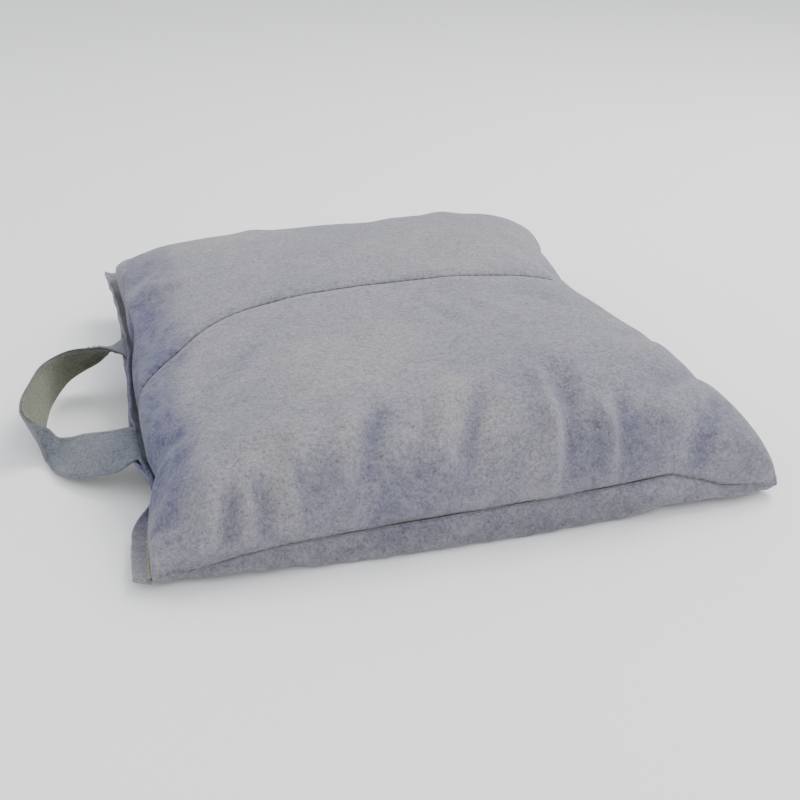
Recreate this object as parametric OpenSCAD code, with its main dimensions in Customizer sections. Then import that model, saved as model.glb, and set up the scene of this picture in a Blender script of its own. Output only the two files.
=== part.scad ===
// Hand-strap sandbag for weighing down stands: a square leather bag, filled with sand in a
// canvas liner, sewn shut along a flange on its left edge, which also holds the carrying strap.
// The bag lies flat on its underside: +X to the right, +Y to the rear, +Z up, and the origin
// is the middle of the underside.

/* [Bag] */
// Width between the closing stitch line and the right seam
bag_width = 380; // [340:5:420]
// Depth between the front seam and the rear seam
bag_depth = 400; // [360:5:440]
// Height of the filled bag at its middle
bag_height = 97; // [85:1:110]
// How far the right side pulls in between its corners
right_pull = 26; // [0:1:40]
// How far the rear side pulls in between its corners
rear_pull = 10; // [0:1:25]
// How far the left side pulls in between its corners
left_pull = 8; // [0:1:12]

/* [Seam height] */
// Height of the seam at the front left corner
front_left_z = 8; // [7:1:20]
// Height of the seam at the front right corner
front_right_z = 10; // [7:1:20]
// Height of the seam at the rear left corner
rear_left_z = 40; // [20:1:45]
// Height of the seam at the rear right corner
rear_right_z = 21; // [12:1:40]
// Extra height of the front seam at its middle
front_lift = 12; // [0:1:20]

/* [Leather and liner] */
// Thickness of the leather
leather_t = 2.2; // [1.6:0.1:2.6]
// Thickness of the canvas liner
liner_t = 0.8; // [0.4:0.1:1.2]
// Width of the sewn flange that closes the bag
flange_w = 10; // [8:0.5:14]
// Upward tilt of the flange between its corners, in degrees
flange_tilt = 25; // [0:1:40]

/* [Carrying strap] */
// Width of the strap
strap_w = 42; // [34:1:50]
// Thickness of the strap, both layers together
strap_t = 3.2; // [2.4:0.1:4]
// Distance between the middles of the strap's two ends
strap_span = 126; // [110:1:140]
// Place of the strap's middle along the flange, from the middle of the bag
strap_y = -17; // [-40:1:20]
// How far the loop reaches out from the flange
strap_reach = 56; // [50:1:70]
// Outward lean of the standing part of the loop, in degrees
strap_lean = 25; // [0:1:30]

/* [Stitching] */
// Radius of the sewing thread
thread_r = 0.45; // [0.3:0.05:0.5]
// Length of one stitch
stitch_len = 4.5; // [3:0.5:6]
// Spacing of the stitches
stitch_pitch = 8; // [7:0.5:12]

/* [Hidden] */

$fn = 16;
play = 0.4;             // clearance between nested layers
seam_gap = 1.2;         // open width of a sewn seam, where the thread shows
columns = 22;           // grid columns from the left seam to the right seam
front_rows = 9;         // grid rows in front of the cross seam
rear_rows = 11;         // grid rows behind the cross seam
rows = front_rows + rear_rows;
half_w = bag_width / 2;
half_d = bag_depth / 2;

// profile exponents: a small one gives a steep, boxy side and one near 1 a round side
left_round = 0.7;
right_round = 1.03;
front_round = 0.23;
rear_round = 0.31;
height_slope_x = 0.10;  // the fill lies a little higher to the right
height_slope_y = -0.14; // and lower to the rear
base_spread = 2.2;      // how quickly the underside flattens on to the floor
side_swell = 3;         // how far the sides stand out over the seam
front_swell = 7;        // how far the underside stands out below the front seam
rear_swell = 2;         // and below the rear seam

function lerp(a, b, t) = a + (b - a) * t;
function smooth(t) = let (c = min(1, max(0, t))) c * c * (3 - 2 * c);
function flat_list(rows_of_points) = [for (row = rows_of_points) each row];

// ---- the pillow: s and t run from -1 to 1 across its width and depth ----

function left_seam_z(t) =
    front_left_z + (rear_left_z - front_left_z) * (1 - pow((1 - t) / 2, 2.2)) - 5 * (1 - pow(t, 4));
function right_seam_z(t) = lerp(front_right_z, rear_right_z, (1 + t) / 2) + 4 * (1 - t * t);
function front_seam_z(s) = lerp(front_left_z, front_right_z, (1 + s) / 2) + front_lift * (1 - pow(s, 4));
function rear_seam_z(s) = lerp(rear_left_z, rear_right_z, (1 + s) / 2) - 3 * (1 - s * s);

function seam_z(s, t) =
    let (a = (1 + s) / 2, b = (1 + t) / 2)
    lerp(left_seam_z(t), right_seam_z(t), a) + lerp(front_seam_z(s), rear_seam_z(s), b)
    - lerp(lerp(front_left_z, front_right_z, a), lerp(rear_left_z, rear_right_z, a), b);

function left_x(t) = -half_w + left_pull * (1 - pow(t, 4));
function right_x(t) = half_w - right_pull * (1 - t * t);
function rear_y(s) = half_d - rear_pull * (1 - s * s);

function plan_x(s, t, inset) = lerp(left_x(t) + inset, right_x(t) - inset, (1 + s) / 2);
function plan_y(s, t, inset) = lerp(-half_d + inset, rear_y(s) - inset, (1 + t) / 2);

// the grid runs in u and w; the cross seam is the line w = 0, which bends forward at the left
function seam_shift(u) = -0.09 - 0.22 * pow((1 - u) / 2, 5);
function grid_v(u, w) = w + seam_shift(u) * pow(1 - w * w, 2);

function swell(h) = 4 * h * (1 - h);

// a point on the upper surface of the pillow, inset mm inside the leather's outer face
function upper(u, w, inset, rim) =
    let (v = grid_v(u, w), s = sin(90 * u), t = sin(90 * v),
         hu = pow(max(0, cos(90 * u)), lerp(left_round, right_round, (1 + s) / 2)),
         hv = pow(max(0, cos(90 * v)), lerp(front_round, rear_round, (1 + t) / 2)),
         z0 = seam_z(s, t) + rim,
         top = bag_height * (1 + height_slope_x * s + height_slope_y * t) - inset)
    [plan_x(s, t, inset) + side_swell * s * swell(hu) * hv,
     plan_y(s, t, inset) + side_swell * t * swell(hv) * hu,
     z0 + (top - z0) * hu * hv];

// a point on the lower surface of the pillow
function lower(u, w, inset, rim) =
    let (v = grid_v(u, w), s = sin(90 * u), t = sin(90 * v),
         cu = max(0, cos(90 * u)), cv = max(0, cos(90 * v)),
         h = min(1, pow(cu * cv, 0.8) * base_spread),
         hv = min(1, cv * 2.5),
         z0 = seam_z(s, t) - rim)
    [plan_x(s, t, inset),
     plan_y(s, t, inset) + (t < 0 ? front_swell : rear_swell) * t * swell(hv) * min(1, cu * 2),
     inset + (z0 - inset) * (1 - sqrt(h))];

function grid_u(i) = -1 + 2 * i / columns;
function grid_w(j) =
    j < front_rows ? -1 + j / front_rows
    : j > front_rows ? (j - front_rows) / rear_rows : 0;

// ---- the flange: two layers of leather past the closing stitch line ----

function row_t(j) = sin(90 * grid_v(-1, grid_w(j)));
function stitch_line(j) = let (t = row_t(j)) [left_x(t), plan_y(-1, t, 0), seam_z(-1, t)];
function flange_angle(j) = flange_tilt * (1 - pow(row_t(j), 4));
function flange_out(j) = [-cos(flange_angle(j)), 0, sin(flange_angle(j))];
function flange_up(j) = [sin(flange_angle(j)), 0, cos(flange_angle(j))];
function flange_edge(j) = stitch_line(j) + flange_w * flange_out(j);

// half the space between the layers: closed, but open where a strap end is sewn in
strap_ends_y = [strap_y - strap_span / 2, strap_y + strap_span / 2];
function near_strap(y) =
    let (d = min(abs(y - strap_ends_y[0]), abs(y - strap_ends_y[1])))
    1 - smooth((d - strap_w / 2) / 14);
function half_space(j) = play / 2 + (strap_t / 2) * near_strap(stitch_line(j)[1]);

// values between grid rows, so that everything lies on the same straight facets
row_of_y = [for (j = [0 : rows]) [stitch_line(j)[1], j]];
function row_at(y) = lookup(y, row_of_y);
function at_row(values, r) =
    let (j = min(rows - 1, floor(r))) lerp(values[j], values[j + 1], r - j);
edge_rows = [for (j = [0 : rows]) flange_edge(j)];
stitch_rows = [for (j = [0 : rows]) stitch_line(j)];
up_rows = [for (j = [0 : rows]) flange_up(j)];
space_rows = [for (j = [0 : rows]) half_space(j)];
// a point of the flange's middle surface: f is 0 at the stitch line and 1 at the edge
function flange_point(y, f, rise) =
    let (r = row_at(y))
    lerp(at_row(stitch_rows, r), at_row(edge_rows, r), f) + rise * at_row(up_rows, r);
function space_at(y) = at_row(space_rows, row_at(y));

// ---- meshes ----

// the solid between two grids of points of the same size; with rows to the right and points to
// the rear, the first grid is the upper one
module between(first, second) {
    m = len(first);
    n = len(first[0]);
    base = m * n;
    polyhedron(
        points = concat(flat_list(first), flat_list(second)),
        faces = [
            for (i = [0 : m - 2]) for (j = [0 : n - 2])
                let (a = i * n + j, b = a + 1, c = a + n + 1, d = a + n)
                each [[a, b, c], [a, c, d], [base + a, base + c, base + b], [base + a, base + d, base + c]],
            for (i = [0 : m - 2])
                let (a = i * n, d = a + n, b = a + n - 1, c = b + n)
                each [[a, d, base + d], [a, base + d, base + a], [c, b, base + b], [c, base + b, base + c]],
            for (j = [0 : n - 2])
                let (a = j, b = j + 1, d = (m - 1) * n + j, c = d + 1)
                each [[b, a, base + a], [b, base + a, base + b], [d, c, base + c], [d, base + c, base + d]]
        ]);
}

// one grid of a leather panel: the flange edge, the stitch line, then the pillow
function upper_grid(w_list, row_list, inset, layer) = concat(
    [[for (j = row_list) edge_rows[j] + (space_rows[j] + layer) * up_rows[j]],
     [for (j = row_list) stitch_rows[j] + [0, 0, space_rows[j] + layer]]],
    [for (i = [1 : columns]) [for (w = w_list) upper(grid_u(i), w, inset, seam_gap / 2)]]);

function lower_grid(inset, layer) = concat(
    [[for (j = [0 : rows]) edge_rows[j] - (space_rows[j] + layer) * up_rows[j]],
     [for (j = [0 : rows]) stitch_rows[j] - [0, 0, space_rows[j] + layer]]],
    [for (i = [1 : columns]) [for (j = [0 : rows]) lower(grid_u(i), grid_w(j), inset, seam_gap / 2)]]);

// the cross seam's half opening, as a share of the grid
seam_w = seam_gap / 2 / (half_d * PI / 2);

module bottom_panel() {
    color("slategray")
    between(lower_grid(leather_t, 0), lower_grid(0, leather_t));
}

module top_panel(first, last, w_list) {
    row_list = [first : last];
    between(upper_grid(w_list, row_list, 0, leather_t), upper_grid(w_list, row_list, leather_t, 0));
}

module top_front_panel() {
    color("lightsteelblue")
    top_panel(0, front_rows, [for (j = [0 : front_rows]) j == front_rows ? -seam_w : grid_w(j)]);
}

module top_rear_panel() {
    color("lightslategray")
    top_panel(front_rows, rows, [for (j = [front_rows : rows]) j == front_rows ? seam_w : grid_w(j)]);
}

liner_in = leather_t + play;
sand_in = liner_in + liner_t + play;
function upper_sheet(inset, rim) =
    [for (i = [0 : columns]) [for (j = [0 : rows]) upper(grid_u(i), grid_w(j), inset, rim)]];
function lower_sheet(inset, rim) =
    [for (i = [0 : columns]) [for (j = [0 : rows]) lower(grid_u(i), grid_w(j), inset, rim)]];

// the same grid from right to left, which also turns the order of its two sheets
function turned(grid) = [for (i = [len(grid) - 1 : -1 : 0]) grid[i]];

module liner_top() {
    color("linen")
    between(turned(upper_sheet(liner_in + liner_t, play)), turned(upper_sheet(liner_in, play)));
}

module liner_bottom() {
    color("antiquewhite")
    between(lower_sheet(liner_in + liner_t, play), lower_sheet(liner_in, play));
}

module sand_fill() {
    color("burlywood")
    between(upper_sheet(sand_in, play / 2), lower_sheet(sand_in, play / 2));
}

// ---- thread ----

module stitch(a, b, radius) {
    way = b - a;
    translate(a)
    rotate([0, acos(way[2] / norm(way)), atan2(way[1], way[0])])
    cylinder(r = radius, h = norm(way));
}

// a row of stitches along a line of points, each stitch on one straight facet of it
module stitch_row(line) {
    for (k = [0 : len(line) - 2]) {
        a = line[k];
        b = line[k + 1];
        run = norm(b - a);
        count = floor((run + stitch_pitch - stitch_len) / stitch_pitch);
        if (count > 0)
            for (q = [0 : count - 1]) {
                start = (run - (count - 1) * stitch_pitch - stitch_len) / 2 + q * stitch_pitch;
                stitch(lerp(a, b, start / run), lerp(a, b, (start + stitch_len) / run), thread_r);
            }
    }
}

// middle of the leather at the rim, where the top and the bottom panel meet
function rim_point(u, w) =
    (upper(u, w, 0, 0) + upper(u, w, leather_t, 0)) / 2;

module front_seam_thread() {
    color("dimgray")
    stitch_row([for (i = [1 : columns - 1]) rim_point(grid_u(i), -1)]);
}

module right_seam_thread() {
    color("dimgray")
    stitch_row([for (j = [1 : rows - 1]) rim_point(1, grid_w(j))]);
}

module rear_seam_thread() {
    color("dimgray")
    stitch_row([for (i = [1 : columns - 1]) rim_point(grid_u(i), 1)]);
}

module cross_seam_thread() {
    color("dimgray")
    stitch_row([for (i = [3 : columns - 1]) rim_point(grid_u(i), 0)]);
}

// both faces of the flange, a quarter of the way out from the body
closing_f = 0.28;
thread_rise = thread_r + 0.25;  // from a surface to the middle of the thread on it
module closing_stitch() {
    color("yellowgreen")
    for (side = [-1, 1])
        stitch_row([for (j = [0 : rows])
            lerp(stitch_rows[j], edge_rows[j], closing_f)
            + side * (space_rows[j] + leather_t + thread_rise) * up_rows[j]]);
}

// ---- the strap's sewn-in ends ----

end_margin = 0.15;     // play between a strap end and the leather over it
end_in = 0.3;          // where the end starts, as a share of the flange's width
end_out = 1.06;        // how far it shows past the flange's edge
module strap_end(y_mid) {
    ys = [for (k = [0 : 6]) y_mid + strap_w * (k / 6 - 0.5)];
    fs = [end_in, 1, end_out];
    between([for (f = fs) [for (y = ys) flange_point(y, f, end_margin - space_at(y))]],
            [for (f = fs) [for (y = ys) flange_point(y, f, space_at(y) - end_margin)]]);
}

module strap_front_end() {
    color("slategray")
    strap_end(strap_ends_y[0]);
}

module strap_rear_end() {
    color("slategray")
    strap_end(strap_ends_y[1]);
}

// bar tacks that hold each end, across both edges of the strap, on both faces of the flange
tack_in = 4;
module strap_tacks() {
    color("gray")
    for (y_mid = strap_ends_y, edge = [-1, 1], side = [-1, 1]) {
        y = y_mid + edge * (strap_w / 2 - tack_in);
        rise = side * (space_at(y) + leather_t + thread_rise);
        stitch(flange_point(y, 0.5, rise), flange_point(y, 0.85, rise), thread_r);
    }
}

// ---- the strap's free loop, from its front end round to its rear end ----

hinge_out = 3;         // from the flange's edge to the line that the strap folds on
strap_start = 3;       // from that line to the first full section of the strap
front_root = flange_point(strap_ends_y[0], 1, 0);
rear_root = flange_point(strap_ends_y[1], 1, 0);
loop_x = min(front_root[0], rear_root[0]) - hinge_out - strap_start;
loop_steps = 32;

// the outward direction of the loop in plan, and the angle of the strap's width from upright:
// the outer face looks up at both ends, and the loop stands on its outer edge in between
function loop_side(q) = [-sin(180 * q), -cos(180 * q), 0];
function loop_twist(q) = lerp(-90, strap_lean, smooth((q - 0.1) / 0.4) - smooth((q - 0.55) / 0.4));
function loop_width(q) = cos(loop_twist(q)) * [0, 0, 1] + sin(loop_twist(q)) * loop_side(q);
function loop_face(q) = cos(loop_twist(q)) * loop_side(q) - sin(loop_twist(q)) * [0, 0, 1];
floor_gap = 0.6;
function loop_mid(q) =
    let (rest = strap_w / 2 * cos(loop_twist(q)) + strap_t / 2 * abs(sin(loop_twist(q))) + floor_gap)
    [loop_x - strap_reach * sin(180 * q),
     strap_y - strap_span / 2 * cos(180 * q),
     rest + (front_root[2] - strap_t / 2 - floor_gap) * (1 - smooth(q / 0.35))
     + (rear_root[2] - strap_t / 2 - floor_gap) * smooth((q - 0.65) / 0.35)];
// a point of the strap: across from -1 to 1 over its width, out from its middle surface
function loop_point(q, across, out) =
    loop_mid(q) + across * strap_w / 2 * loop_width(q) + out * loop_face(q);

stitch_at = 0.84;      // place of the two stitch rows, as a share of half the strap's width
strap_columns = [-1, -stitch_at, 0, stitch_at, 1];
function strap_sheet(out) =
    [for (k = [0 : loop_steps]) [for (a = strap_columns) loop_point(k / loop_steps, a, out)]];

layer_gap = 0.1;       // half the space between the strap's two layers
module strap_outer_layer() {
    color("slategray")
    between(strap_sheet(layer_gap), strap_sheet(strap_t / 2));
}

module strap_inner_layer() {
    color("darkseagreen")
    between(strap_sheet(-strap_t / 2), strap_sheet(-layer_gap));
}

module strap_stitching() {
    color("gray")
    for (row = [-1, 1], face = [-1, 1])
        stitch_row([for (k = [1 : loop_steps - 1])
            loop_point(k / loop_steps, row * stitch_at, face * (strap_t / 2 + thread_rise))]);
}

bottom_panel();
top_front_panel();
top_rear_panel();
liner_bottom();
liner_top();
sand_fill();
front_seam_thread();
right_seam_thread();
rear_seam_thread();
cross_seam_thread();
closing_stitch();
strap_front_end();
strap_rear_end();
strap_tacks();
strap_outer_layer();
strap_inner_layer();
strap_stitching();
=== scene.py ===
"""Suede leather sandbag with a carrying loop, its canvas liner and its fill of sand."""
import logging
import math
from dataclasses import dataclass, field
from enum import Enum
from typing import Callable, Iterable, Sequence

import bmesh
import bpy
import numpy as np
from mathutils import Matrix, Vector, noise
from mathutils.kdtree import KDTree


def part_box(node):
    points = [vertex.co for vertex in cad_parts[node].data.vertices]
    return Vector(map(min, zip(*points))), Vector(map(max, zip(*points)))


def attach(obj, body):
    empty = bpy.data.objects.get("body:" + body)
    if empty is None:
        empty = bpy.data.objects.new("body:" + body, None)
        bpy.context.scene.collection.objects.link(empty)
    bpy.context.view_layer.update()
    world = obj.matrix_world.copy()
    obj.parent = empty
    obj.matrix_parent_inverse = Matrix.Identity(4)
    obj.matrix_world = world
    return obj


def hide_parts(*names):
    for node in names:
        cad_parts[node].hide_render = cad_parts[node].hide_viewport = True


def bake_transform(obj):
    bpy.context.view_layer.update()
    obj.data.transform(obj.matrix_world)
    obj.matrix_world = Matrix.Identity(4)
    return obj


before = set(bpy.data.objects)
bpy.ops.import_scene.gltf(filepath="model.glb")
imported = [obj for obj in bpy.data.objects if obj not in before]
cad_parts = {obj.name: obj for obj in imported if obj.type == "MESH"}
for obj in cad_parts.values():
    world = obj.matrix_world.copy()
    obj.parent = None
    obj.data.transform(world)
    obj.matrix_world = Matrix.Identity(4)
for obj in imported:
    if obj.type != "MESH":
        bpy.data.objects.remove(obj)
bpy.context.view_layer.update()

MM = 0.001
WELD = 1e-6
UP = np.array([0.0, 0.0, 1.0])
Number = float | np.ndarray
Socket = bpy.types.NodeSocket
log = logging.getLogger("sandbag")


def lerp(a: Number, b: Number, t: Number) -> Number:
    """Mix a and b by t, for numbers or arrays."""
    return a + (b - a) * t


def smooth(t: Number) -> Number:
    """Smooth step from 0 to 1, for numbers or arrays."""
    t = np.clip(t, 0.0, 1.0)
    return t * t * (3.0 - 2.0 * t)


def through(points: Sequence[tuple], at: np.ndarray, column: int) -> np.ndarray:
    """Read a listed outline at given places, rounded between its points.

    Args:
        points: rows of numbers, sorted by their first column.
        at: places along the first column.
        column: the column to read.

    Returns:
        The column's value at each place, averaged a little so that it bends smoothly.
    """
    table = np.array(points, float)
    reach = 4.0 * MM
    places = [np.asarray(at) + shift for shift in np.linspace(-reach, reach, 5)]
    return sum(np.interp(place, table[:, 0], table[:, column]) for place in places) / len(places)


def curve(points: Sequence[tuple], at: np.ndarray, column: int) -> np.ndarray:
    """Read a listed outline at given places, as a smooth curve through all its points.

    Args:
        points: rows of numbers, sorted by their first column.
        at: places along the first column.
        column: the column to read.

    Returns:
        The column's value at each place.
    """
    table = np.array(points, float)
    x, y = table[:, 0], table[:, column]
    slope = np.gradient(y, x)
    k = np.clip(np.searchsorted(x, at, side="right") - 1, 0, len(x) - 2)
    span = x[k + 1] - x[k]
    t = (at - x[k]) / span
    bend = (t ** 3 - 2.0 * t ** 2 + t) * span * slope[k] + (t ** 3 - t ** 2) * span * slope[k + 1]
    return lerp(y[k], y[k + 1], 3.0 * t ** 2 - 2.0 * t ** 3) + bend


def grain_noise(points: np.ndarray, scale: float, seed: float) -> np.ndarray:
    """Smooth noise from -1 to 1 at each of some points.

    Args:
        points: an array of positions, N by 3.
        scale: noise cells per metre.
        seed: shifts the pattern.

    Returns:
        One value a point.
    """
    offset = Vector((seed, seed * 1.7, -seed))
    return np.array([noise.noise(Vector(p) * scale + offset) for p in points])


class Body(str, Enum):
    """The rigid bodies of the frame."""

    BAG = "bag"
    STRAP = "strap"


class Sheet(Enum):
    """The two sides of the bag's skin."""

    TOP = "top"
    BOTTOM = "bottom"


def new_object(name: str, mesh: bpy.types.Mesh) -> bpy.types.Object:
    """Link a mesh to the scene as an object at the origin."""
    piece = bpy.data.objects.new(name, mesh)
    bpy.context.scene.collection.objects.link(piece)
    return piece


def mesh_from(bm: bmesh.types.BMesh, name: str) -> bpy.types.Mesh:
    """Turn a bmesh into a smooth-shaded mesh and free it."""
    mesh = bpy.data.meshes.new(name)
    bm.to_mesh(mesh)
    bm.free()
    mesh.shade_smooth()
    return mesh


def shape_grid(points: np.ndarray, name: str, flip: bool) -> bpy.types.Mesh:
    """Bend a flat grid of quads to an array of points.

    Args:
        points: positions, by place along the grid's first axis and its second.
        name: the mesh's name.
        flip: turn the faces the other way.

    Returns:
        The bent mesh.
    """
    columns, rows = points.shape[0] - 1, points.shape[1] - 1
    bm = bmesh.new()
    bmesh.ops.create_grid(bm, x_segments=columns, y_segments=rows, size=1.0)
    for vert in bm.verts:
        vert.co = points[round((vert.co.x + 1.0) / 2.0 * columns), round((vert.co.y + 1.0) / 2.0 * rows)]
    if flip:
        bmesh.ops.reverse_faces(bm, faces=bm.faces)
    return mesh_from(bm, name)


def gather(sheets: Iterable[tuple]) -> bmesh.types.BMesh:
    """Put bent grids together in one bmesh.

    Args:
        sheets: for each grid its array of points, and whether its faces turn the other way.

    Returns:
        A bmesh that holds them all, not welded.
    """
    bm = bmesh.new()
    for points, flip in sheets:
        part = shape_grid(points, "sheet", flip)
        bm.from_mesh(part)
        bpy.data.meshes.remove(part)
    return bm


def unit(vectors: np.ndarray) -> np.ndarray:
    """Vectors of length one along the last axis."""
    return vectors / np.linalg.norm(vectors, axis=-1, keepdims=True)


# ---------------------------------------------------------------- materials


class Nodes:
    """Short calls that add shader nodes to one tree."""

    COLOUR_MIX_INPUTS = (0, 6, 7)
    COLOUR_MIX_OUTPUT = 2

    def __init__(self, tree: bpy.types.NodeTree) -> None:
        """Keep the tree that the nodes go in."""
        self.tree = tree

    def add(self, kind: str, **settings: str) -> bpy.types.Node:
        """Add a node and set its properties."""
        node = self.tree.nodes.new(kind)
        for key, value in settings.items():
            setattr(node, key, value)
        return node

    def link(self, out: Socket, into: Socket) -> None:
        """Join an output socket to an input socket."""
        self.tree.links.new(out, into)

    def feed(self, into: Socket, value: Socket | float | tuple) -> None:
        """Give an input a socket, a number or an RGB colour."""
        if isinstance(value, (int, float)):
            into.default_value = value
        elif isinstance(value, tuple):
            into.default_value = (*value, 1.0)
        else:
            self.link(value, into)

    def noise(self, coords: Socket, scale: float, detail: float = 3.0, rough: float = 0.5,
              warp: float = 0.0) -> Socket:
        """A noise texture's value over the given coordinates."""
        node = self.add("ShaderNodeTexNoise")
        node.inputs["Scale"].default_value = scale
        node.inputs["Detail"].default_value = detail
        node.inputs["Roughness"].default_value = rough
        node.inputs["Distortion"].default_value = warp
        self.link(coords, node.inputs["Vector"])
        return node.outputs["Fac"]

    def math(self, operation: str, a: Socket | float, b: Socket | float) -> Socket:
        """Combine two values, each a socket or a number."""
        node = self.add("ShaderNodeMath", operation=operation)
        for into, value in zip(node.inputs, (a, b)):
            self.feed(into, value)
        return node.outputs["Value"]

    def weighted(self, *parts: tuple) -> Socket:
        """The sum of some values, each times its weight."""
        shares = [self.math("MULTIPLY", value, weight) for value, weight in parts]
        total = shares[0]
        for share in shares[1:]:
            total = self.math("ADD", total, share)
        return total

    def ramp(self, value: Socket, low: float, high: float, to_low: float = 0.0,
             to_high: float = 1.0) -> Socket:
        """Stretch a value from low..high to another range, held at its ends."""
        node = self.add("ShaderNodeMapRange", interpolation_type="SMOOTHSTEP")
        self.link(value, node.inputs["Value"])
        for key, number in (("From Min", low), ("From Max", high), ("To Min", to_low), ("To Max", to_high)):
            node.inputs[key].default_value = number
        return node.outputs["Result"]

    def mix(self, factor: Socket | float, a: Socket | tuple, b: Socket | tuple, blend: str = "MIX") -> Socket:
        """Mix two colours, each a socket or an RGB tuple."""
        node = self.add("ShaderNodeMix", data_type="RGBA", blend_type=blend)
        for number, value in zip(self.COLOUR_MIX_INPUTS, (factor, a, b)):
            self.feed(node.inputs[number], value)
        return node.outputs[self.COLOUR_MIX_OUTPUT]

    def stretched(self, coords: Socket, scale: tuple) -> Socket:
        """Coordinates scaled by a different amount along each axis."""
        node = self.add("ShaderNodeMapping")
        node.inputs["Scale"].default_value = scale
        self.link(coords, node.inputs["Vector"])
        return node.outputs["Vector"]


def start_group(name: str, results: Iterable[str]) -> tuple:
    """Begin a node group that turns coordinates into some values.

    Args:
        name: the group's name.
        results: the names of its output values.

    Returns:
        The group, its node helper, its coordinates and the node that takes its results.
    """
    group = bpy.data.node_groups.new(name, "ShaderNodeTree")
    group.interface.new_socket(name="Coords", in_out="INPUT", socket_type="NodeSocketVector")
    for result in results:
        group.interface.new_socket(name=result, in_out="OUTPUT", socket_type="NodeSocketFloat")
    n = Nodes(group)
    return group, n, n.add("NodeGroupInput").outputs["Coords"], n.add("NodeGroupOutput")


def nap_group() -> bpy.types.NodeTree:
    """The brushed nap of split leather: a value for its shade and a height for its fibres."""
    group, n, coords, out = start_group("brushed_nap", ("Shade", "Height"))
    fibres = n.noise(coords, 1300.0, 3.0, 0.7, 0.35)
    clumps = n.noise(coords, 560.0, 4.0, 0.62, 0.5)
    strokes = n.noise(n.stretched(coords, (0.8, 1.3, 1.0)), 150.0, 3.0, 0.55, 0.8)
    pebbles = n.noise(coords, 330.0, 3.0, 0.6, 0.3)
    specks = n.ramp(n.noise(coords, 760.0, 2.0, 0.6), 0.62, 0.74)
    shade = n.weighted((fibres, 0.34), (clumps, 0.38), (strokes, 0.12), (pebbles, 0.16), (specks, -0.12))
    n.link(shade, out.inputs["Shade"])
    n.link(n.weighted((fibres, 0.30), (clumps, 0.45), (pebbles, 0.45)), out.inputs["Height"])
    return group


def mottle_group() -> bpy.types.NodeTree:
    """Uneven dye: soft patches in three sizes, each from 0 to 1."""
    patches = {"Broad": ((9.0, 3.0, 0.55, 0.6), (0.34, 0.66)),
               "Middle": ((34.0, 4.0, 0.6, 0.8), (0.36, 0.66)),
               "Small": ((120.0, 3.0, 0.6, 0.4), (0.38, 0.68))}
    group, n, coords, out = start_group("uneven_dye", patches)
    for name, (cells, limits) in patches.items():
        n.link(n.ramp(n.noise(coords, *cells), *limits), out.inputs[name])
    return group


class Groups:
    """Node groups that several finishes share, each made once."""

    made: dict = {}

    @classmethod
    def get(cls, maker: Callable[[], bpy.types.NodeTree]) -> bpy.types.NodeTree:
        """The group that maker makes, made at its first use."""
        if maker.__name__ not in cls.made:
            cls.made[maker.__name__] = maker()
        return cls.made[maker.__name__]


def start_material(name: str) -> tuple:
    """A new material, its node helper, its shader and its object coordinates."""
    material = bpy.data.materials.new(name)
    material.use_nodes = True
    n = Nodes(material.node_tree)
    shader = material.node_tree.nodes["Principled BSDF"]
    coords = n.add("ShaderNodeTexCoord").outputs["Object"]
    return material, n, shader, coords


def use_group(n: Nodes, maker: Callable[[], bpy.types.NodeTree], coords: Socket) -> bpy.types.Node:
    """Place a shared node group and feed it coordinates."""
    node = n.add("ShaderNodeGroup")
    node.node_tree = Groups.get(maker)
    n.link(coords, node.inputs["Coords"])
    return node


def bump_to(n: Nodes, shader: bpy.types.Node, height: Socket, distance: float, strength: float) -> None:
    """Feed a height to a shader's normal through a Bump node."""
    bump = n.add("ShaderNodeBump")
    bump.inputs["Strength"].default_value = strength
    bump.inputs["Distance"].default_value = distance
    n.link(height, bump.inputs["Height"])
    n.link(bump.outputs["Normal"], shader.inputs["Normal"])


# colour attribute holding blue dye, beige wear, painted shade and painted highlight, read by the suede
# materials
DYE_AND_PAINTED_LIGHT = "dye"


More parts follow.
